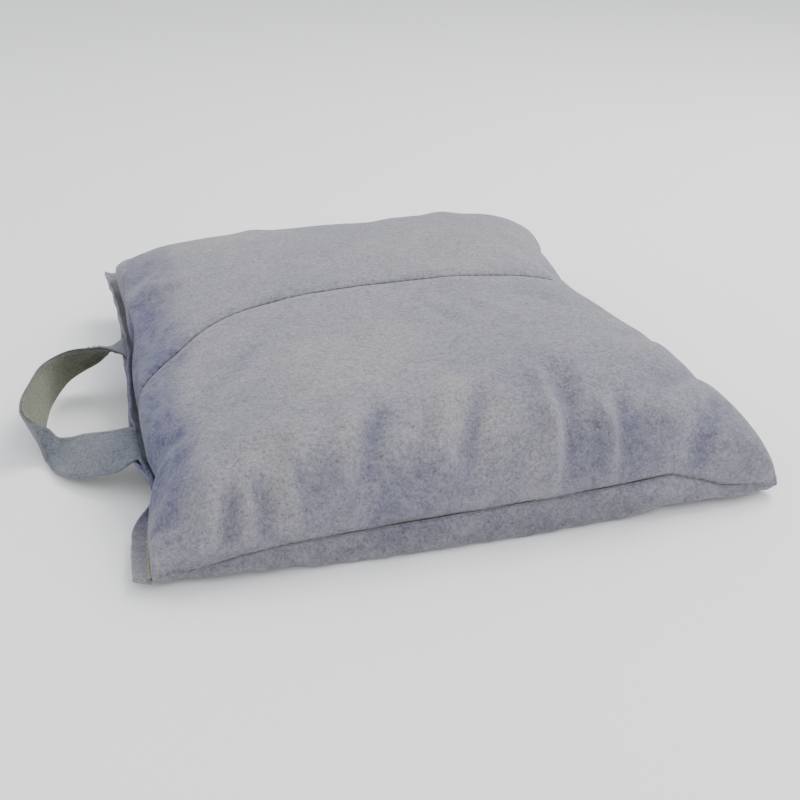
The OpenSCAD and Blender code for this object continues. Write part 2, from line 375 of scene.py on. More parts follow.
@dataclass(frozen=True)
class SuedeFinish:
    """Dyed split leather with a brushed nap."""

    name: str
    base: tuple
    blue: tuple
    beige: tuple
    # dark: the tint for random grime and for painted shade
    dark: tuple
    blue_share: float = 0.26
    beige_share: float = 0.42
    grime_share: float = 0.10
    painted_blue: float = 0.6
    painted_beige: float = 0.55
    nap_light: tuple = (0.34, 0.63, 0.58, 1.39)
    nap_roughness: tuple = (0.2, 0.8, 0.98, 0.86)
    sheen: float = 0.28
    bump: tuple = (0.0016, 0.8)

    def material(self) -> bpy.types.Material:
        """Build the material.

        Returns:
            A material on object coordinates; the dye attribute's red, green and blue channels
            add blue dye with painted shade in fold grooves, beige wear with painted highlight
            on fold ridges, and painted shade.
        """
        material, n, shader, coords = start_material(self.name)
        dye = use_group(n, mottle_group, coords)
        nap = use_group(n, nap_group, coords)
        painted = n.add("ShaderNodeAttribute", attribute_name=DYE_AND_PAINTED_LIGHT)
        split = n.add("ShaderNodeSeparateColor")
        n.link(painted.outputs["Color"], split.inputs["Color"])
        broken = n.ramp(dye.outputs["Small"], 0.0, 1.0, 0.72, 1.0)
        colour = self.base
        # the attribute's red and green channels carry painted shade in fold grooves and painted highlight on
        # fold ridges along with blue dye and beige wear; its blue channel is painted shade, mixed with random
        # grime toward the dark tint
        for patches, share, channel, tint in (
                ("Middle", self.beige_share * self.painted_beige, "Green", self.beige),
                ("Broad", self.blue_share * self.painted_blue, "Red", self.blue),
                ("Small", self.grime_share, "Blue", self.dark)):
            even = n.math("MULTIPLY", dye.outputs[patches], share)
            spot = n.math("MULTIPLY", split.outputs[channel], broken)
            colour = n.mix(n.math("MAXIMUM", even, spot), colour, tint)
        light = n.ramp(nap.outputs["Shade"], *self.nap_light)
        tone = n.add("ShaderNodeCombineColor")
        for channel in tone.inputs:
            n.link(light, channel)
        colour = n.mix(1.0, colour, tone.outputs["Color"], "MULTIPLY")
        n.link(colour, shader.inputs["Base Color"])
        n.link(n.ramp(nap.outputs["Shade"], *self.nap_roughness), shader.inputs["Roughness"])
        shader.inputs["Sheen Weight"].default_value = self.sheen
        shader.inputs["Sheen Roughness"].default_value = 0.45
        shader.inputs["Specular IOR Level"].default_value = 0.18
        bump_to(n, shader, nap.outputs["Height"], *self.bump)
        return material


@dataclass(frozen=True)
class ThreadFinish:
    """Twisted sewing thread."""

    name: str
    base: tuple
    light: tuple

    def material(self) -> bpy.types.Material:
        """Build the material: two tones of fibre and a fine twist in the bump."""
        material, n, shader, coords = start_material(self.name)
        twist = n.noise(n.stretched(coords, (1.0, 0.35, 1.0)), 2600.0, 2.0, 0.6, 0.4)
        worn = n.noise(coords, 160.0, 3.0, 0.6)
        colour = n.mix(n.ramp(twist, 0.35, 0.65), self.base, self.light)
        colour = n.mix(n.ramp(worn, 0.5, 0.75, 0.0, 0.45), colour, tuple(0.55 * c for c in self.base))
        n.link(colour, shader.inputs["Base Color"])
        shader.inputs["Roughness"].default_value = 0.72
        shader.inputs["Sheen Weight"].default_value = 0.15
        bump_to(n, shader, twist, 0.0004, 0.7)
        return material


@dataclass(frozen=True)
class CanvasFinish:
    """Plain-woven cotton canvas."""

    name: str
    base: tuple
    dark: tuple

    def material(self) -> bpy.types.Material:
        """Build the material: warp and weft ribs crossed on object coordinates."""
        material, n, shader, coords = start_material(self.name)
        ribs = []
        for direction in ("X", "Y"):
            wave = n.add("ShaderNodeTexWave", wave_type="BANDS", bands_direction=direction)
            wave.inputs["Scale"].default_value = 190.0
            wave.inputs["Distortion"].default_value = 0.6
            wave.inputs["Detail"].default_value = 1.0
            n.link(coords, wave.inputs["Vector"])
            ribs.append(wave.outputs["Fac"])
        weave = n.math("MAXIMUM", ribs[0], ribs[1])
        stains = n.noise(coords, 14.0, 4.0, 0.6, 0.5)
        colour = n.mix(n.ramp(weave, 0.2, 0.9), self.dark, self.base)
        colour = n.mix(n.ramp(stains, 0.5, 0.75, 0.0, 0.35), colour, self.dark)
        n.link(colour, shader.inputs["Base Color"])
        shader.inputs["Roughness"].default_value = 0.9
        bump_to(n, shader, weave, 0.0005, 0.6)
        return material


@dataclass(frozen=True)
class SandFinish:
    """Dry washed sand."""

    name: str
    base: tuple
    dark: tuple
    light: tuple

    def material(self) -> bpy.types.Material:
        """Build the material: grains of three tones with a grainy bump."""
        material, n, shader, coords = start_material(self.name)
        grains = n.add("ShaderNodeTexVoronoi")
        grains.inputs["Scale"].default_value = 900.0
        n.link(coords, grains.inputs["Vector"])
        pick = n.add("ShaderNodeSeparateColor")
        n.link(grains.outputs["Color"], pick.inputs["Color"])
        damp = n.noise(coords, 11.0, 4.0, 0.6)
        colour = n.mix(n.ramp(pick.outputs["Red"], 0.3, 0.9), self.base, self.light)
        colour = n.mix(n.ramp(pick.outputs["Green"], 0.75, 0.9), colour, self.dark)
        colour = n.mix(n.ramp(damp, 0.45, 0.75, 0.0, 0.4), colour, self.dark)
        n.link(colour, shader.inputs["Base Color"])
        shader.inputs["Roughness"].default_value = 0.95
        bump_to(n, shader, grains.outputs["Distance"], 0.0008, 0.6)
        return material


Finish = SuedeFinish | ThreadFinish | CanvasFinish | SandFinish

BAG_SUEDE = SuedeFinish(
    "bag_suede_leather", base=(0.220, 0.216, 0.245), blue=(0.056, 0.062, 0.138),
    beige=(0.290, 0.282, 0.274), dark=(0.060, 0.058, 0.082))
STRAP_SUEDE = SuedeFinish(
    "strap_suede_leather", base=(0.135, 0.147, 0.176), blue=(0.098, 0.110, 0.150),
    beige=(0.190, 0.200, 0.165), dark=(0.055, 0.057, 0.068))
STRAP_LINING = SuedeFinish(
    "strap_flesh_side_leather", base=(0.158, 0.172, 0.104), blue=(0.110, 0.122, 0.088),
    beige=(0.205, 0.218, 0.135), dark=(0.045, 0.048, 0.036), blue_share=0.3)
SEAM_THREAD = ThreadFinish("grey_seam_thread", base=(0.120, 0.120, 0.140), light=(0.190, 0.190, 0.215))
STRAP_THREAD = ThreadFinish("blue_grey_strap_thread", base=(0.125, 0.136, 0.158), light=(0.165, 0.178, 0.200))
CLOSING_THREAD = ThreadFinish("yellow_green_thread", base=(0.300, 0.305, 0.110), light=(0.430, 0.430, 0.200))
LINER_CANVAS = CanvasFinish("natural_canvas", base=(0.55, 0.49, 0.37), dark=(0.34, 0.29, 0.20))
DRY_SAND = SandFinish("dry_sand", base=(0.45, 0.35, 0.22), dark=(0.22, 0.15, 0.09), light=(0.66, 0.57, 0.42))


class Wardrobe:
    """Every material of the object, made once."""

    made: dict = {}

    @classmethod
    def get(cls, finish: Finish) -> bpy.types.Material:
        """The material of a finish."""
        if finish.name not in cls.made:
            cls.made[finish.name] = finish.material()
        return cls.made[finish.name]


def dress(piece: bpy.types.Object, finish: Finish, body: Body | None,
          nodes: Sequence[str]) -> None:
    """Give a piece its material, body and material slot, and the CAD nodes that it stands for.

    Args:
        piece: the piece to dress.
        finish: its finish.
        body: the body that it rides on, or None to leave it on no body.
        nodes: CAD nodes that aren't shown because of it.
    """
    piece.data.materials.clear()
    piece.data.materials.append(Wardrobe.get(finish))
    if body is not None:
        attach(piece, body.value)
    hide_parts(*nodes)
    log.info("%s: %d faces, stands for %s", piece.name, len(piece.data.polygons), ", ".join(nodes))


# ---------------------------------------------------------------- the bag


@dataclass(frozen=True)
class Fold:
    """One fold in the leather, from start to end in plan."""

    start: tuple
    end: tuple
    width: float
    height: float

    def lift(self, xy: np.ndarray) -> np.ndarray:
        """How far the fold lifts the leather at each plan position, tapered to its ends."""
        a, b = np.array(self.start), np.array(self.end)
        way = b - a
        length = float(np.hypot(*way))
        along = ((xy - a) @ way) / length ** 2
        side = ((xy - a) @ np.array([-way[1], way[0]])) / length
        taper = smooth(along * 3.0) * smooth((1.0 - along) * 3.0)
        return self.height * taper * np.exp(-((side / self.width) ** 2))


# the flange's free edge, and the line where its layers part: place along y, x from the bag's left and height
FLANGE_EDGE = (
    (-0.200, 0.0, 0.0085), (-0.165, 0.0010, 0.0090), (-0.147, 0.0030, 0.0100), (-0.141, 0.0090, 0.0130),
    (-0.134, 0.0190, 0.0200), (-0.118, 0.0150, 0.0265), (-0.103, 0.0105, 0.0280), (-0.080, 0.0085, 0.0265),
    (-0.050, 0.0078, 0.0290), (-0.015, 0.0092, 0.0320), (0.030, 0.0095, 0.0390), (0.066, 0.0095, 0.0365),
    (0.100, 0.0085, 0.0380), (0.150, 0.0050, 0.0390), (0.200, 0.0, 0.0400),
)
FLANGE_LINE = (
    (-0.200, 0.0100, 0.0085), (-0.165, 0.0110, 0.0090), (-0.143, 0.0150, 0.0110), (-0.132, 0.0235, 0.0150),
    (-0.118, 0.0225, 0.0180), (-0.103, 0.0205, 0.0190), (-0.080, 0.0190, 0.0190), (-0.020, 0.0190, 0.0225),
    (0.046, 0.0195, 0.0280), (0.110, 0.0180, 0.0315), (0.160, 0.0140, 0.0350), (0.200, 0.0100, 0.0380),
)
# the front seam: place along x, and height
FRONT_RIM = (
    (-0.190, 0.0085), (-0.165, 0.0105), (-0.140, 0.0150), (-0.112, 0.018), (-0.050, 0.020), (0.000, 0.021),
    (0.060, 0.023), (0.100, 0.025), (0.118, 0.027), (0.135, 0.021), (0.155, 0.013), (0.190, 0.009),
)


@dataclass
class BagShape:
    """The bag's resting shape: two curved sheets that meet at the seams.

    Grid coordinates u and w run from -1 to 1, left to right and front to rear; w = 0 is the cross seam.
    Shares s and t also run from -1 to 1, across the width and the depth.
    """

    height: float = 86.0 * MM
    slope_x: float = 0.076
    slope_y: float = 0.08
    right_pull: float = 31.0 * MM
    right_skew: float = 0.33
    rear_pull: float = 13.0 * MM
    power_left: float = 2.8
    power_right: float = 2.6
    power_front: float = 9.0
    power_rear: float = 2.1
    roundness: float = 0.34
    left_swell: float = 15.0 * MM
    right_swell: float = 0.5 * MM
    front_swell: float = 2.0 * MM
    rear_swell: float = 8.0 * MM
    underside_swell: float = 8.5 * MM
    base_spread: float = 3.6
    underside_rear_swell: float = 2.0 * MM
    rear_rim: tuple = (0.038, 0.020)
    right_rim: tuple = (0.008, 0.020)
    right_rise: float = 4.0 * MM
    rear_dip: float = 3.0 * MM
    overhang_at: float = 0.06
    overhang_reach: float = 0.05
    seam_back: float = 0.03
    seam_left: float = -0.46
    seam_right: float = -0.13
    evenness: float = 0.35

    def __post_init__(self) -> None:
        """Read the overall places from the frame, and put the flange's outlines there."""
        low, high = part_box("bottom_panel")
        self.front_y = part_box("front_seam_thread")[0][1]
        self.rear_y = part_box("rear_seam_thread")[1][1]
        self.right_x = high[0]
        self.edge = tuple((y, low[0] + x, z) for y, x, z in FLANGE_EDGE)
        self.line = tuple((y, low[0] + x, z) for y, x, z in FLANGE_LINE)

    @staticmethod
    def trace(outline: Sequence[tuple], y: np.ndarray) -> np.ndarray:
        """Positions on the flange's edge or its line at places along y."""
        return np.stack([through(outline, y, 1), y, through(outline, y, 2)], -1)

    def rim_z(self, s: np.ndarray, t: np.ndarray) -> np.ndarray:
        """Height of the seam round the bag, spread smoothly over the whole plan."""
        a, b = (1.0 + s) / 2.0, (1.0 + t) / 2.0
        left = through(self.line, lerp(self.front_y, self.rear_y, b), 2)
        right = lerp(*self.right_rim, b) + self.right_rise * (1.0 - t * t)
        front = through(FRONT_RIM, lerp(self.line[0][1], self.right_x, a), 1)
        rear = lerp(*self.rear_rim, a) - self.rear_dip * (1.0 - s * s)
        corner = lerp(self.line[0][2], self.right_rim[0], a)
        return lerp(left, right, a) + lerp(front, rear, b) - lerp(corner, lerp(*self.rear_rim, a), b)

    def plan(self, s: np.ndarray, t: np.ndarray) -> tuple:
        """Plan position of a share of the width and the depth."""
        y = lerp(self.front_y, self.rear_y - self.rear_pull * (1.0 - s * s), (1.0 + t) / 2.0)
        left = through(self.line, lerp(self.front_y, self.rear_y, (1.0 + t) / 2.0), 1)
        right = self.right_x - self.right_pull * (1.0 - t * t) * (1.0 + self.right_skew * t)
        return lerp(left, right, (1.0 + s) / 2.0), y

    def shares(self, u: np.ndarray, w: np.ndarray) -> tuple:
        """Shares of the width and the depth for grid coordinates, spread evenly along the skin."""
        v = w + self.seam_shift(u) * (1.0 - w * w) ** 2
        s = np.where(u < 0.0, self.evenly(u, self.power_left), self.evenly(u, self.power_right))
        return s, np.where(v < 0.0, self.evenly(v, self.power_front), self.evenly(v, self.power_rear))

    def evenly(self, place: np.ndarray, power: float) -> np.ndarray:
        """The share at which a part of the way along a rounded side is reached."""
        share = 1.0 - np.linspace(1.0, 0.0, 400) ** 4
        rise = (1.0 - share ** power) ** self.roundness
        half = (self.rear_y - self.front_y) / 2.0
        steps = np.hypot(np.diff(share) * half, np.diff(rise) * self.height * 0.8)
        way = np.concatenate([[0.0], np.cumsum(steps)])
        even = np.sign(place) * np.interp(np.abs(place), way / way[-1], share)
        return lerp(even, np.sin(np.pi / 2.0 * place), self.evenness)

    def seam_shift(self, u: np.ndarray) -> np.ndarray:
        """Place of the cross seam, which bends forward down the left side."""
        left, right = ((1.0 - u) / 2.0) ** 8, ((1.0 + u) / 2.0) ** 3
        return self.seam_back + self.seam_left * left + self.seam_right * right

    def top(self, u: np.ndarray, w: np.ndarray) -> np.ndarray:
        """Positions on the upper sheet."""
        s, t = self.shares(u, w)
        x, y = self.plan(s, t)
        power = lerp(self.power_left * (1.0 + 0.5 * np.maximum(t, 0.0)), self.power_right, (1.0 + s) / 2.0)
        side = np.maximum(1.0 - np.abs(s) ** power, 0.0)
        depth = np.maximum(1.0 - np.abs(t) ** lerp(self.power_front, self.power_rear, (1.0 + t) / 2.0), 0.0)
        rise = (side * depth) ** self.roundness
        low = self.rim_z(s, t)
        z = low + (self.height * (1.0 + self.slope_x * s + self.slope_y * t) - low) * rise
        y = y + np.where(t > 0.0, self.rear_swell, self.front_swell) * t * 4.0 * depth * (1.0 - depth)
        overhang = self.left_swell * smooth((t + 0.85) / 0.3)
        hang = np.exp(-((1.0 + s - self.overhang_at) / self.overhang_reach) ** 2)
        x = x + np.where(s > 0.0, self.right_swell * s * 4.0 * side * (1.0 - side) * depth,
                         -overhang * hang * np.minimum(1.0, 2.0 * depth))
        return np.stack([x, y, z], -1)

    @staticmethod
    def inward(share: np.ndarray) -> np.ndarray:
        """How far inside the rim a share lies, from 0 to 1 and quick to rise."""
        inside = np.maximum(1.0 - np.abs(share), 0.0)
        return np.sin(np.pi / 2.0 * np.minimum(1.0, (np.sqrt(0.0225 + 4.2 * inside) - 0.15) / 2.1))

    def bottom(self, u: np.ndarray, w: np.ndarray) -> np.ndarray:
        """Positions on the lower sheet, flat where it lies on the floor."""
        s, t = self.shares(u, w)
        x, y = self.plan(s, t)
        cu, cv = self.inward(s), self.inward(t)
        spread = self.base_spread * (1.0 - 0.7 * (s * t) ** 4)
        cover = np.minimum(1.0, (cu * cv) ** 0.8 * spread)
        near = np.minimum(1.0, cv * 2.5)
        swell = 4.0 * near * (1.0 - near) * np.sqrt(np.maximum(1.0 - s * s, 0.0))
        front = self.underside_swell * smooth((s + 1.0) / 0.3)
        y = y + np.where(t < 0.0, front, self.underside_rear_swell) * t * swell
        z = self.rim_z(s, t) * (1.0 - np.sqrt(cover))
        return np.stack([x, y, z], -1)


FOLDS = (
    Fold((-0.163, -0.216), (-0.146, -0.168), 0.007, 0.0050),
    Fold((-0.152, -0.214), (-0.141, -0.184), 0.005, -0.0046),
    Fold((-0.141, -0.216), (-0.128, -0.172), 0.006, 0.0044),
    Fold((-0.124, -0.214), (-0.131, -0.178), 0.006, -0.0052),
    Fold((-0.114, -0.214), (-0.098, -0.152), 0.008, 0.0036),
    Fold((-0.099, -0.214), (-0.108, -0.182), 0.005, -0.0032),
    Fold((-0.090, -0.208), (-0.062, -0.150), 0.009, 0.0046),
    Fold((-0.075, -0.204), (-0.048, -0.156), 0.007, -0.0044),
    Fold((-0.036, -0.208), (0.000, -0.142), 0.008, 0.0050),
    Fold((-0.018, -0.206), (0.014, -0.150), 0.006, -0.0044),
    Fold((0.010, -0.212), (0.060, -0.176), 0.006, 0.0024),
    Fold((0.040, -0.215), (0.044, -0.136), 0.0045, 0.0058),
    Fold((0.050, -0.215), (0.060, -0.140), 0.007, -0.0054),
    Fold((0.068, -0.215), (0.066, -0.178), 0.005, -0.0026),
    Fold((0.076, -0.215), (0.075, -0.172), 0.004, 0.0046),
    Fold((0.084, -0.215), (0.090, -0.172), 0.006, -0.0034),
    Fold((0.092, -0.208), (0.150, -0.160), 0.008, 0.0028),
    Fold((0.118, -0.210), (0.172, -0.164), 0.008, -0.0034),
    Fold((0.160, -0.105), (0.090, -0.155), 0.009, 0.0034),
    Fold((0.170, -0.130), (0.105, -0.180), 0.008, -0.0032),
    Fold((0.178, 0.030), (0.120, 0.045), 0.010, -0.0024),
    Fold((0.158, 0.085), (0.100, 0.062), 0.012, 0.0022),
    Fold((-0.090, 0.205), (-0.075, 0.130), 0.012, 0.0020),
    Fold((0.020, 0.205), (0.010, 0.125), 0.012, -0.0020),
    Fold((0.090, 0.205), (0.070, 0.120), 0.012, 0.0020),
    Fold((0.020, -0.030), (0.075, -0.100), 0.006, 0.0014),
    Fold((0.000, -0.026), (0.030, -0.110), 0.006, -0.0013),
    Fold((0.045, -0.022), (0.120, -0.080), 0.006, -0.0013),
    Fold((-0.030, -0.030), (-0.045, -0.095), 0.008, 0.0012),
    Fold((-0.150, -0.120), (-0.100, -0.050), 0.010, -0.0014),
    Fold((-0.190, 0.080), (-0.120, 0.060), 0.010, 0.0020),
)


# how the leather stretches, buckles and settles under the filling's pressure
CLOTH = {
    "quality": 6, "mass": 0.4, "tension_stiffness": 22.0, "compression_stiffness": 22.0,
    "shear_stiffness": 8.0, "bending_stiffness": 4.0, "tension_damping": 12.0, "bending_damping": 2.0,
    "shrink_min": -0.018, "use_pressure": True, "uniform_pressure_force": 0.5,
    "vertex_group_mass": "held", "pin_stiffness": 2.0,
}


@dataclass
class LeatherBag:
    """The three leather panels, with the flange that closes them on the left."""

    shape: BagShape
    columns: int = 120
    front_rows: int = 46
    rear_rows: int = 44
    flange_columns: int = 8
    leather: float = 2.0 * MM
    groove: float = 2.6 * MM
    groove_width: float = 2.6 * MM
    corner_ease: float = 14.0 * MM
    welt: float = 1.4 * MM
    welt_at: float = 5.0 * MM
    welt_width: float = 2.4 * MM
    pared: float = 0.15
    pared_reach: float = 2.0 * MM
    layer_gap: float = 0.5 * MM
    flange_sag: float = 1.2 * MM
    foot: float = 0.4 * MM
    sim_frames: int = 16
    move_cap: float = 4.0 * MM
    top_points: np.ndarray = field(default_factory=lambda: np.zeros(0))
    bottom_points: np.ndarray = field(default_factory=lambda: np.zeros(0))

    @property
    def rows(self) -> int:
        """All rows of the skin's grid."""
        return self.front_rows + self.rear_rows

    def grid(self) -> tuple:
        """Grid coordinates of every column and row."""
        u = np.linspace(-1.0, 1.0, self.columns + 1)
        front, rear = np.linspace(-1.0, 0.0, self.front_rows + 1), np.linspace(0.0, 1.0, self.rear_rows + 1)
        return np.meshgrid(u, np.concatenate([front, rear[1:]]), indexing="ij")

    def settle(self) -> None:
        """Work out the skin: the resting shape, its folds, and the pull of the filling."""
        u, w = self.grid()
        top, bottom = self.shape.top(u, w), self.shape.bottom(u, w)
        inside = np.minimum(1.0, 6.0 * (1.0 - np.abs(u))) * np.minimum(1.0, 12.0 * (1.0 - np.abs(w)))
        normal = self.normals(top)
        lift = sum(one.lift(top[..., :2]) for one in FOLDS)
        top = top + normal * (lift * inside)[..., None]
        self.top_points, self.bottom_points = self.inflate(top, bottom)

    @staticmethod
    def normals(points: np.ndarray) -> np.ndarray:
        """Upward normals of a grid of points."""
        across = np.gradient(points, axis=0)
        along = np.gradient(points, axis=1)
        normal = np.cross(across, along)
        return normal / np.maximum(np.linalg.norm(normal, axis=-1, keepdims=True), 1e-12)

    def inflate(self, top: np.ndarray, bottom: np.ndarray) -> tuple:
        """Let the leather buckle between its seams under the filling's pressure.

        Args:
            top: positions of the upper sheet.
            bottom: positions of the lower sheet.

        Returns:
            Both sheets after the cloth simulation, with no point moved past the cap.
        """
        bm = gather(((top, False), (bottom, True)))
        bmesh.ops.remove_doubles(bm, verts=bm.verts, dist=WELD)
        mesh = mesh_from(bm, "skin_for_cloth")
        skin = new_object("skin_for_cloth", mesh)
        start = np.zeros(len(mesh.vertices) * 3)
        mesh.vertices.foreach_get("co", start)
        start = start.reshape(-1, 3)
        tree = KDTree(len(start))
        for index, point in enumerate(start):
            tree.insert(point, index)
        tree.balance()
        found = [np.array([tree.find(p)[1] for p in points.reshape(-1, 3)]).reshape(points.shape[:2])
                 for points in (top, bottom)]
        hold = np.where(start[:, 2] < self.foot, 1.0, 0.0)
        for rim in (found[0][0], found[0][-1], found[0][:, 0], found[0][:, -1]):
            hold[rim] = 1.0
        pins = skin.vertex_groups.new(name="held")
        for index, held in enumerate(hold):
            pins.add([index], float(held), "REPLACE")
        cloth = skin.modifiers.new("cloth", "CLOTH")
        for key, value in CLOTH.items():
            setattr(cloth.settings, key, value)
        cloth.settings.effector_weights.gravity = 0.0
        cloth.collision_settings.use_self_collision = False
        cloth.point_cache.frame_start = 1
        cloth.point_cache.frame_end = self.sim_frames
        scene = bpy.context.scene
        for step in range(1, self.sim_frames + 1):
            scene.frame_set(step)
        result = skin.evaluated_get(bpy.context.evaluated_depsgraph_get())
        end = np.zeros(len(start) * 3)
        result.data.vertices.foreach_get("co", end)
        move = end.reshape(-1, 3) - start
        size = np.linalg.norm(move, axis=1, keepdims=True)
        move *= np.minimum(1.0, self.move_cap / np.maximum(size, 1e-9))
        log.info("leather settled %.1f mm at most, %.1f mm on average", size.max() / MM, size.mean() / MM)
        ended = start + move
        ended[:, 2] = np.maximum(ended[:, 2], 0.0)
        bpy.data.objects.remove(skin)
        scene.frame_set(1)
        return ended[found[0]], ended[found[1]]

    def flange(self, sheet: Sheet) -> np.ndarray:
        """Positions of one layer of the flange, from its edge in to the stitch line."""
        y_line = self.top_points[0, :, 1]
        share = np.linspace(1.0, 0.0, self.flange_columns + 1)[:-1]
        line = self.top_points[0]
        out = self.shape.trace(self.shape.edge, y_line) - line
        up = unit(np.cross(np.array([0.0, -1.0, 0.0]), -out))
        up = np.where(up[:, 2:3] < 0.0, -up, up)
        sign = 1.0 if sheet is Sheet.TOP else -1.0
        gap = self.leather / 2.0 + CarryStrap.half_space(y_line)
        rows = []
        for f in share:
            wave = 0.0006 * np.sin(y_line * 210.0 + f) + 0.0004 * np.sin(y_line * 520.0)
            shift = (self.layer_gap + gap) * sign
            sag = self.flange_sag * math.sin(f * math.pi)
            point = line + out * f + up * (shift + wave * f - sag)[:, None]
            point[:, 1] += 3.0 * MM * f * smooth((-0.15 - y_line) / 0.05)
            rows.append(point)
        return np.array(rows)

    def panel(self, name: str, sheet: Sheet, first: int, last: int) -> bpy.types.Object:
        """Make one leather panel from the settled skin.

        Args:
            name: the piece's name.
            sheet: which side of the skin it is cut from.
            first: its first grid row.
            last: its last grid row.

        Returns:
            The panel, a closed shell once its modifiers are counted.
        """
        top = sheet is Sheet.TOP
        points = (self.top_points if top else self.bottom_points).copy()
        outward = self.normals(points) * (1.0 if top else -1.0)
        seams = [self.top_points[:, 0], self.top_points[:, -1], self.top_points[-1]]
        if top:
            seams.append(self.top_points[:, self.front_rows])
        near = np.full(points.shape[:2], 1.0)
        for line in seams:
            near = np.minimum(near, self.distance(points, line))
        middle = (self.top_points.mean(axis=(0, 1)) + self.bottom_points.mean(axis=(0, 1))) / 2.0
        pinch = np.exp(-((near / self.groove_width) ** 2))
        for corner in (points[0, 0], points[0, -1], points[-1, 0], points[-1, -1]):
            away = np.linalg.norm(points - corner, axis=-1)
            pinch = pinch * smooth(away / self.corner_ease)
        inward = -outward
        at_rim = np.zeros(points.shape[:2])
        at_rim[:, 0] = at_rim[:, -1] = at_rim[-1] = 1.0
        sideways = middle - points
        sideways[..., 2] = 0.0
        sideways = sideways / np.maximum(np.linalg.norm(sideways, axis=-1, keepdims=True), 1e-9)
        inward = lerp(inward, sideways, at_rim[..., None])
        points = points + inward * (self.groove * pinch)[..., None]
        if not top:
            from_front = self.distance(points, self.top_points[:, 0])
            ridge = np.exp(-(((from_front - self.welt_at) / self.welt_width) ** 2))
            points = points + outward * (self.welt * ridge)[..., None]
        body = points[:, first:last + 1]
        fringe = self.flange(sheet)[:, first:last + 1]
        join = body[0].copy()
        lift = self.leather / 2.0 + self.layer_gap + CarryStrap.half_space(join[:, 1])
        join[:, 2] += lift if top else -lift
        cut = self.roughen(np.concatenate([fringe, join[None], body[1:]]))
        piece = new_object(name, shape_grid(cut, name, not top))
        paint(piece)
        self.thin_corners(piece)
        smooth_out = piece.modifiers.new("soften", "SUBSURF")
        smooth_out.levels = smooth_out.render_levels = 1
        wall = piece.modifiers.new("leather", "SOLIDIFY")
        wall.thickness = self.leather
        wall.offset = -1.0
        wall.use_even_offset = False
        wall.vertex_group = "wall"
        wall.thickness_vertex_group = self.pared
        return piece

    def thin_corners(self, piece: bpy.types.Object) -> None:
        """Mark where a panel's leather is full and where it is pared thin, at the right corners."""
        group = piece.vertex_groups.new(name="wall")
        corners = [Vector(self.top_points[-1, row]) for row in (0, -1)]
        for vertex in piece.data.vertices:
            away = min((vertex.co - corner).length for corner in corners)
            group.add([vertex.index], float(smooth((away - self.pared_reach) / self.corner_ease)), "REPLACE")

    @staticmethod
    def distance(points: np.ndarray, line: np.ndarray) -> np.ndarray:
        """Distance of each grid point from a seam line."""
        flat = points.reshape(-1, 3)
        best = np.full(len(flat), 1.0)
        for k in range(len(line) - 1):
            a, way = line[k], line[k + 1] - line[k]
            length = float(way @ way)
            if length < 1e-14:
                continue
            t = np.clip((flat - a) @ way / length, 0.0, 1.0)
            best = np.minimum(best, np.linalg.norm(flat - a - t[:, None] * way, axis=1))
        return best.reshape(points.shape[:2])

    @staticmethod
    def roughen(points: np.ndarray) -> np.ndarray:
        """Add the faint lumps that sand leaves in leather."""
        flat = points.reshape(-1, 3)
        lumps = 0.0007 * grain_noise(flat, 38.0, 3.0) + 0.0003 * grain_noise(flat, 95.0, 8.0)
        shift = LeatherBag.normals(points).reshape(-1, 3) * lumps[:, None]
        moved = flat + shift
        moved[:, 2] = np.where(flat[:, 2] < 0.2 * MM, flat[:, 2], np.maximum(moved[:, 2], 0.0))
        return moved.reshape(points.shape)

    def build(self) -> list:
        """Build and dress the three panels."""
        self.settle()
        rows = (("top_front_leather", Sheet.TOP, 0, self.front_rows, "top_front_panel"),
                ("top_rear_leather", Sheet.TOP, self.front_rows, self.rows, "top_rear_panel"),
                ("bottom_leather", Sheet.BOTTOM, 0, self.rows, "bottom_panel"))
        pieces = []
        for name, sheet, first, last, node in rows:
            piece = self.panel(name, sheet, first, last)
            dress(piece, BAG_SUEDE, Body.BAG, [node])
            pieces.append(piece)
        return pieces


@dataclass(frozen=True)
class Spot:
    """A soft patch of colour on the leather."""

    centre: tuple
    reach: tuple
    amount: float

    def strength(self, points: np.ndarray) -> np.ndarray:
        """The patch's strength at each point, broken up at its edge."""
        away = np.linalg.norm((points - np.array(self.centre)) / np.array(self.reach), axis=1)
        ragged = 0.35 * grain_noise(points, 26.0, self.centre[0] * 50.0)
        return self.amount * smooth(1.35 - away + ragged)


BLUE_SPOTS = (
    Spot((-0.188, -0.060, 0.045), (0.024, 0.110, 0.055), 0.9),
    Spot((-0.182, -0.110, 0.050), (0.026, 0.075, 0.055), 1.0),
    Spot((-0.176, 0.010, 0.060), (0.030, 0.080, 0.050), 1.0),
    Spot((-0.172, 0.120, 0.060), (0.028, 0.080, 0.050), 0.65),
    Spot((-0.180, -0.155, 0.040), (0.022, 0.045, 0.045), 0.90),
    Spot((0.155, -0.150, 0.040), (0.050, 0.050, 0.025), 0.55),
    Spot((0.085, -0.195, 0.045), (0.050, 0.020, 0.030), 0.45),
    Spot((-0.040, -0.200, 0.035), (0.050, 0.015, 0.025), 0.45),
    Spot((0.050, -0.150, 0.075), (0.050, 0.030, 0.030), 0.30),
    Spot((0.120, -0.150, 0.060), (0.040, 0.040, 0.030), 0.35),
    Spot((-0.080, -0.190, 0.045), (0.040, 0.030, 0.025), 0.35),
)
BEIGE_SPOTS = (
    Spot((-0.060, -0.110, 0.090), (0.060, 0.050, 0.030), 0.75),
    Spot((0.000, -0.170, 0.070), (0.035, 0.035, 0.030), 0.75),
    Spot((-0.120, -0.180, 0.045), (0.030, 0.030, 0.030), 0.65),
    Spot((0.040, 0.060, 0.095), (0.090, 0.080, 0.030), 0.55),
    Spot((-0.100, 0.150, 0.080), (0.050, 0.050, 0.030), 0.60),
)
